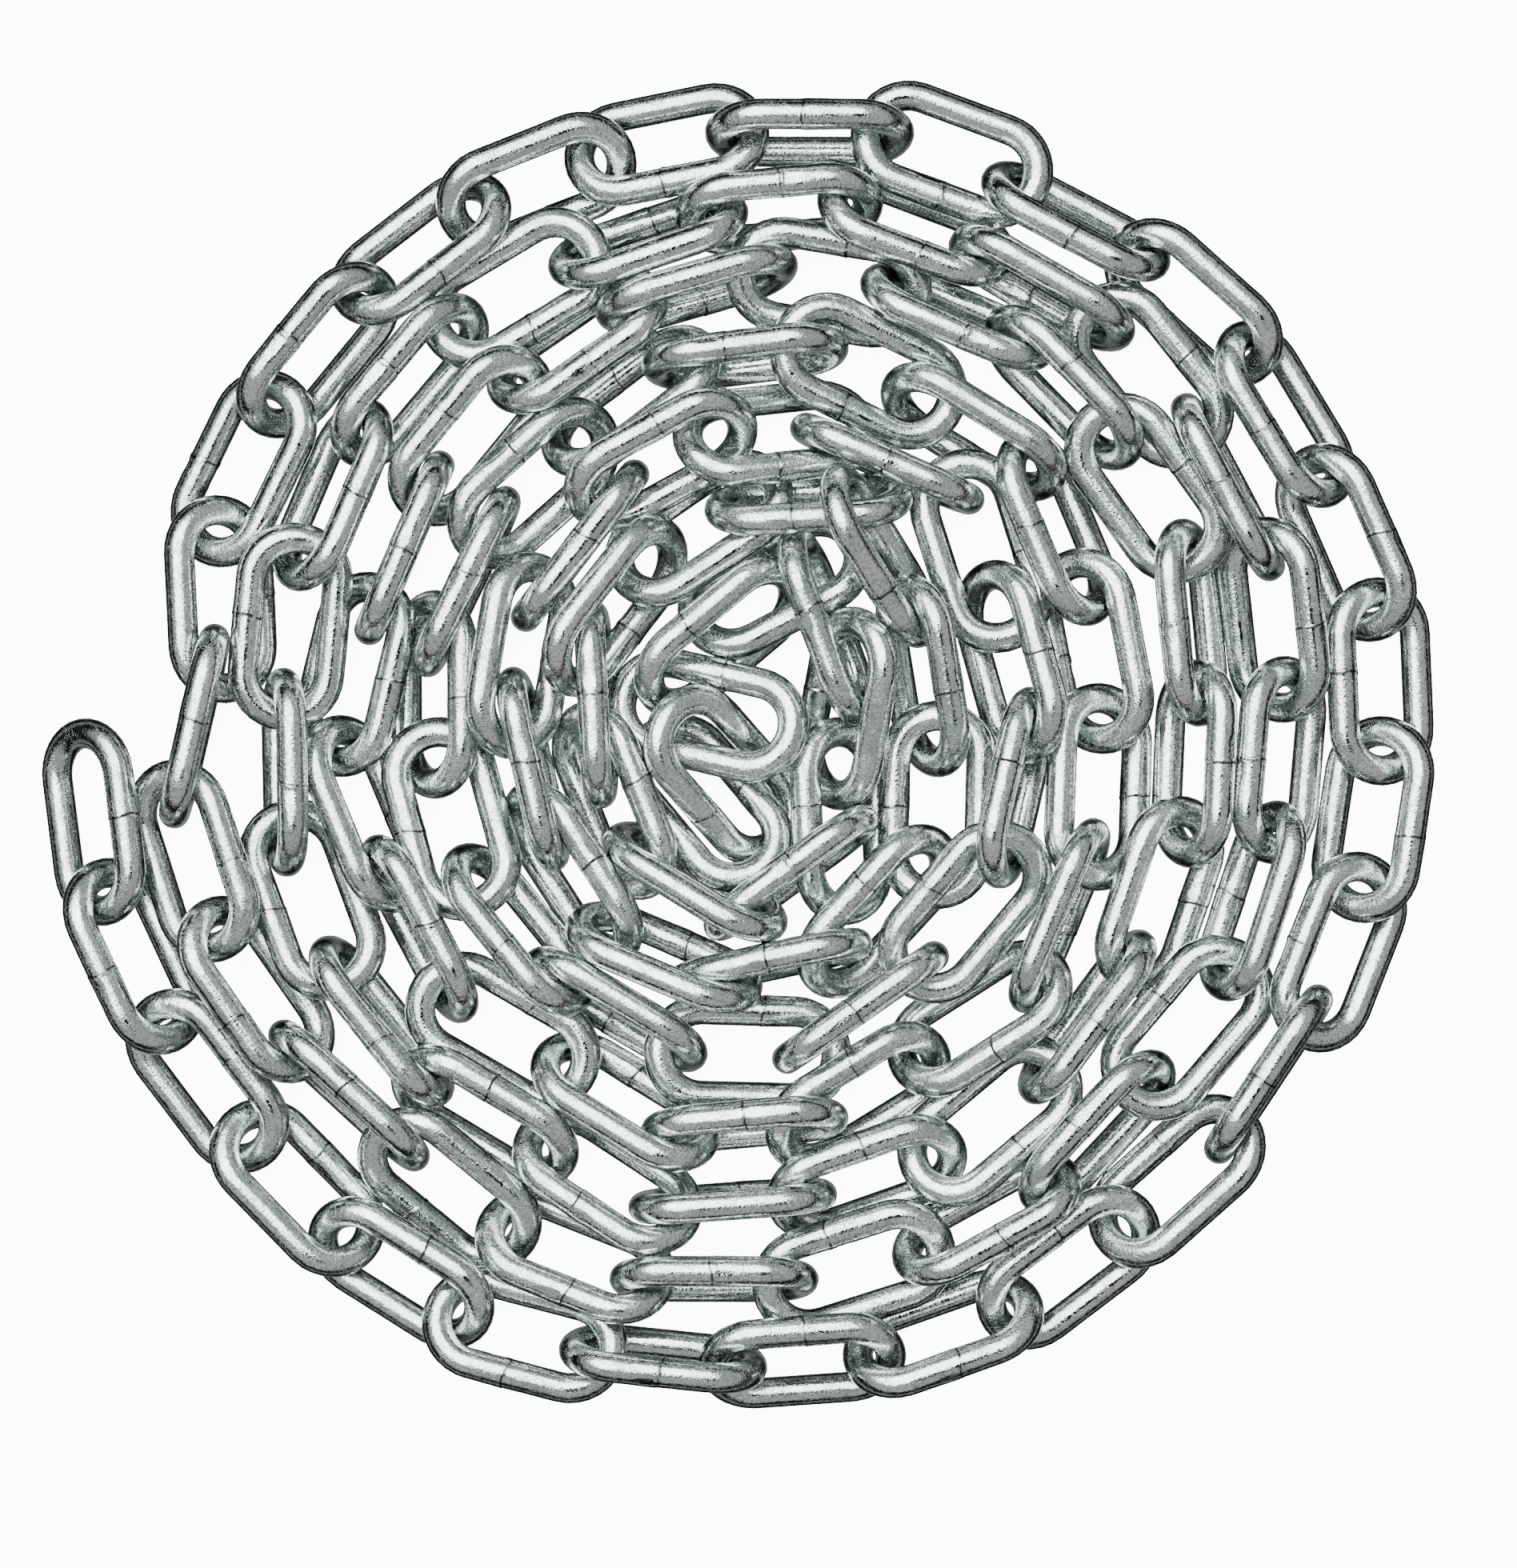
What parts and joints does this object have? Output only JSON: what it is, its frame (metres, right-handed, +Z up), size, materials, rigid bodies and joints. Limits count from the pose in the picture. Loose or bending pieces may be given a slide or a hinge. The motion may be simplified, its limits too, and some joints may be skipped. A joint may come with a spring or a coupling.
{
  "type": "coiled steel chain",
  "caption": "Length of welded steel chain heaped as a flat round coil, wound inwards to a small tangle at the middle.",
  "frame": {"origin": "middle of the coil's bounding box, at floor level", "axes": "+Z up, square to the flat coil; +X to the right of the picture and +Y to its top"},
  "size_m": [0.3032, 0.2882, 0.0371],
  "materials": {
    "zinc_plated_steel": "bright zinc plate, lightly pebbled"
  },
  "bodies": {
    "root": {"end_link_001": "zinc_plated_steel", "links_002_to_004": "zinc_plated_steel", "links_005_to_007": "zinc_plated_steel", "links_008_to_010": "zinc_plated_steel", "links_011_to_013": "zinc_plated_steel", "links_014_to_016": "zinc_plated_steel", "links_017_to_019": "zinc_plated_steel", "links_020_to_022": "zinc_plated_steel", "links_023_to_025": "zinc_plated_steel", "links_026_to_028": "zinc_plated_steel", "links_029_to_031": "zinc_plated_steel", "links_032_to_034": "zinc_plated_steel", "links_035_to_037": "zinc_plated_steel", "links_038_to_040": "zinc_plated_steel", "links_041_to_043": "zinc_plated_steel", "links_044_to_046": "zinc_plated_steel", "links_047_to_049": "zinc_plated_steel", "links_050_to_052": "zinc_plated_steel", "links_053_to_055": "zinc_plated_steel", "links_056_to_058": "zinc_plated_steel", "links_059_to_061": "zinc_plated_steel", "links_062_to_064": "zinc_plated_steel", "links_065_to_067": "zinc_plated_steel", "links_068_to_070": "zinc_plated_steel", "links_071_to_073": "zinc_plated_steel", "links_074_to_076": "zinc_plated_steel", "links_077_to_079": "zinc_plated_steel", "links_080_to_082": "zinc_plated_steel", "links_083_to_085": "zinc_plated_steel", "links_086_to_088": "zinc_plated_steel", "links_089_to_091": "zinc_plated_steel", "links_092_to_094": "zinc_plated_steel", "links_095_to_097": "zinc_plated_steel", "links_098_to_100": "zinc_plated_steel", "links_101_to_103": "zinc_plated_steel", "links_104_to_106": "zinc_plated_steel", "links_107_to_109": "zinc_plated_steel", "links_110_to_112": "zinc_plated_steel", "links_113_to_115": "zinc_plated_steel", "links_116_to_118": "zinc_plated_steel", "links_119_to_121": "zinc_plated_steel", "links_122_to_124": "zinc_plated_steel", "links_125_to_127": "zinc_plated_steel"}
  },
  "joints": []
}
